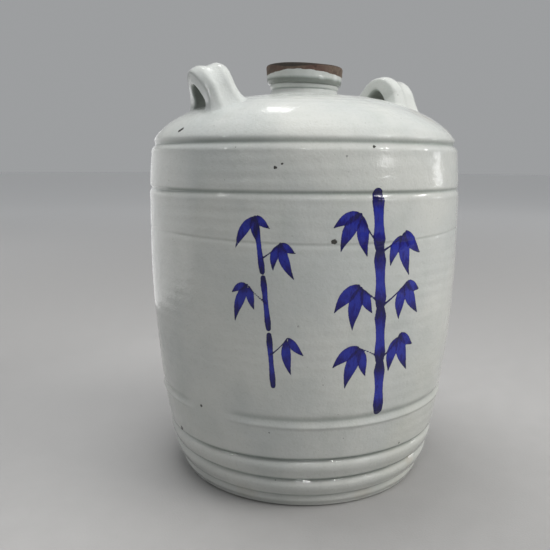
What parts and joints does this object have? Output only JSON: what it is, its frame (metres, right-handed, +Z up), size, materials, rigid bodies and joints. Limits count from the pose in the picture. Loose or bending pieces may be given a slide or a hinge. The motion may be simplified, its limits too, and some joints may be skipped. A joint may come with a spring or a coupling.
{
  "type": "stoneware sake jar",
  "caption": "Barrel-shaped thrown stoneware sake jar with a short neck, rolled lip, two strap ears on the shoulder and a lift-out wooden bung.",
  "frame": {"origin": "centre of the foot, on the surface that the jar stands on", "axes": "+Z up along the axis it was thrown on; the two ears lie along +X and -X; -Y is the painted front"},
  "size_m": [0.3, 0.3, 0.3919],
  "materials": {
    "white_glaze": "glossy grey-white feldspar glaze with cobalt brushwork",
    "bare_clay": "matt iron-brown bare stoneware",
    "cedar": "plain turned cedar, darkened with use"
  },
  "bodies": {
    "jar": {"base": "white_glaze", "lower_wall": "white_glaze", "upper_wall": "white_glaze", "shoulder": "white_glaze", "neck": "white_glaze", "rolled_lip": "bare_clay", "handle_left": "white_glaze", "handle_right": "white_glaze"},
    "stopper": {"stopper": "cedar"}
  },
  "joints": [
    {"name": "stopper_lift", "type": "slide", "parent": "jar", "child": "stopper", "axis": [0, 0, 1], "range_m": [0, 0.12]}
  ]
}
